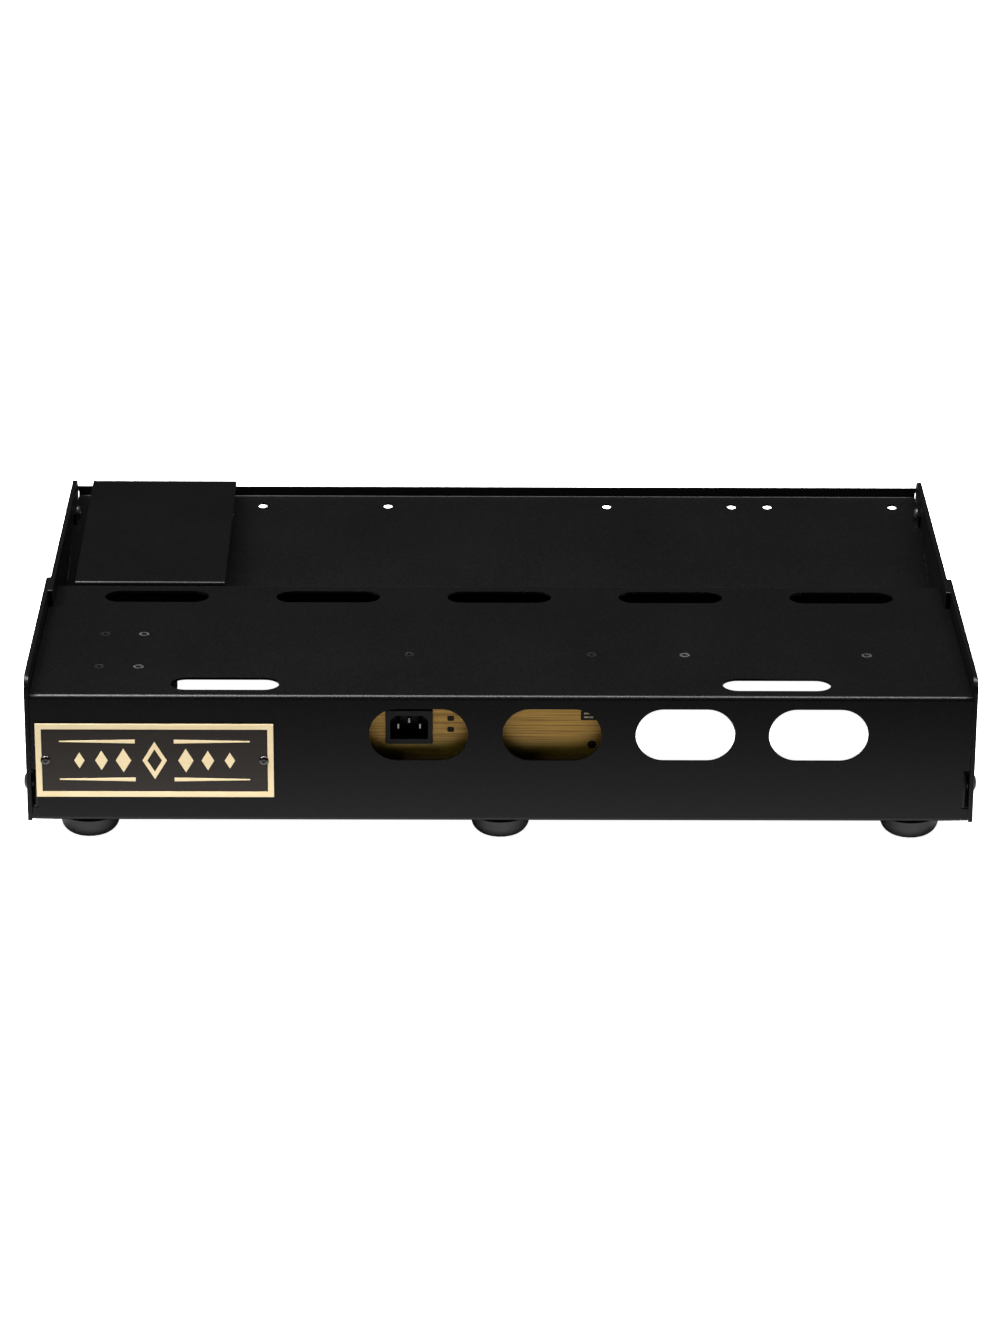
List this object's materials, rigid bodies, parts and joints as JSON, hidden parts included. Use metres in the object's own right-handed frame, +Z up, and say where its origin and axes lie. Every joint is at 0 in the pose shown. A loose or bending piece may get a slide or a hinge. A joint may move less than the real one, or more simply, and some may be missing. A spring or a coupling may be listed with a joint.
{
  "type": "pedalboard",
  "caption": "Two-tier folded-aluminium guitar pedalboard with cable ports, a built-in power supply, a patch bay and a lift-off pedal riser.",
  "frame": {"origin": "on the floor under the middle of the whole board", "axes": "+X to the player's right along the board, +Y from the player's side to the far side, +Z up"},
  "size_m": [0.6148, 0.3838, 0.118],
  "materials": {
    "powder_coat": "satin black fine-texture powder coat",
    "black_screw": "black oxide",
    "zinc": "bright zinc plate",
    "gold_case": "satin gold",
    "black_case": "matte black",
    "name_field": "dark brown satin",
    "name_gold": "cream gold satin",
    "foot_rubber": "moulded matte",
    "pad_rubber": "matte",
    "black_plastic": "moulded",
    "silver_pin": "polished",
    "circuit_green": "solder mask",
    "copper_winding": "enamelled winding",
    "lamp_green": "clear green",
    "nickel": "nickel plate"
  },
  "bodies": {
    "board": {"front_shell": "powder_coat", "left_cheek": "powder_coat", "right_cheek": "powder_coat", "left_side_plate": "powder_coat", "right_side_plate": "powder_coat", "rear_deck": "powder_coat", "rear_rail": "powder_coat", "rubber_feet": "foot_rubber", "foot_screws": "zinc", "foot_washers": "zinc", "foot_nuts": "zinc", "cheek_screws": "black_screw", "cheek_nuts": "zinc", "cheek_spacers": "black_screw", "rear_deck_screws": "black_screw", "rear_deck_nuts": "zinc", "rail_screws": "black_screw", "rail_nuts": "zinc", "web_screws": "black_screw", "web_nuts": "zinc", "deck_clinch_nuts": "zinc", "deck_flush_screws": "black_screw", "nameplate_base": "name_field", "nameplate_border": "name_gold", "nameplate_emblem": "name_gold", "nameplate_screws": "black_screw", "nameplate_nuts": "zinc", "supply_cover": "gold_case", "supply_base": "black_case", "supply_inlet": "black_plastic", "supply_inlet_pins": "silver_pin", "supply_circuit_board": "circuit_green", "supply_board_posts": "zinc", "supply_transformer": "copper_winding", "supply_output_jacks": "black_plastic", "supply_output_pins": "silver_pin", "supply_indicator_lamps": "lamp_green", "supply_switch_bodies": "black_plastic", "supply_weld_nuts": "zinc", "patch_bay_case": "black_case", "patch_bay_lid": "black_case", "patch_bay_weld_nuts": "zinc", "patch_bay_jacks": "nickel", "patch_bay_jack_nuts": "nickel", "patch_bay_circuit_board": "circuit_green", "riser_taper_washers": "pad_rubber", "riser_thumb_nuts": "black_screw"},
    "riser": {"riser_plate": "powder_coat", "riser_pads": "pad_rubber", "riser_studs": "zinc"},
    "slider_left": {"supply_slider_left": "black_plastic"},
    "slider_right": {"supply_slider_right": "black_plastic"}
  },
  "joints": [
    {"name": "riser_lift", "type": "slide", "parent": "board", "child": "riser", "axis": [0, 0, 1], "range_m": [0, 0.08]},
    {"name": "left_output_switch", "type": "slide", "parent": "board", "child": "slider_left", "axis": [1, 0, 0], "range_m": [0, 0.003]},
    {"name": "right_output_switch", "type": "slide", "parent": "board", "child": "slider_right", "axis": [1, 0, 0], "range_m": [0, 0.003]}
  ]
}
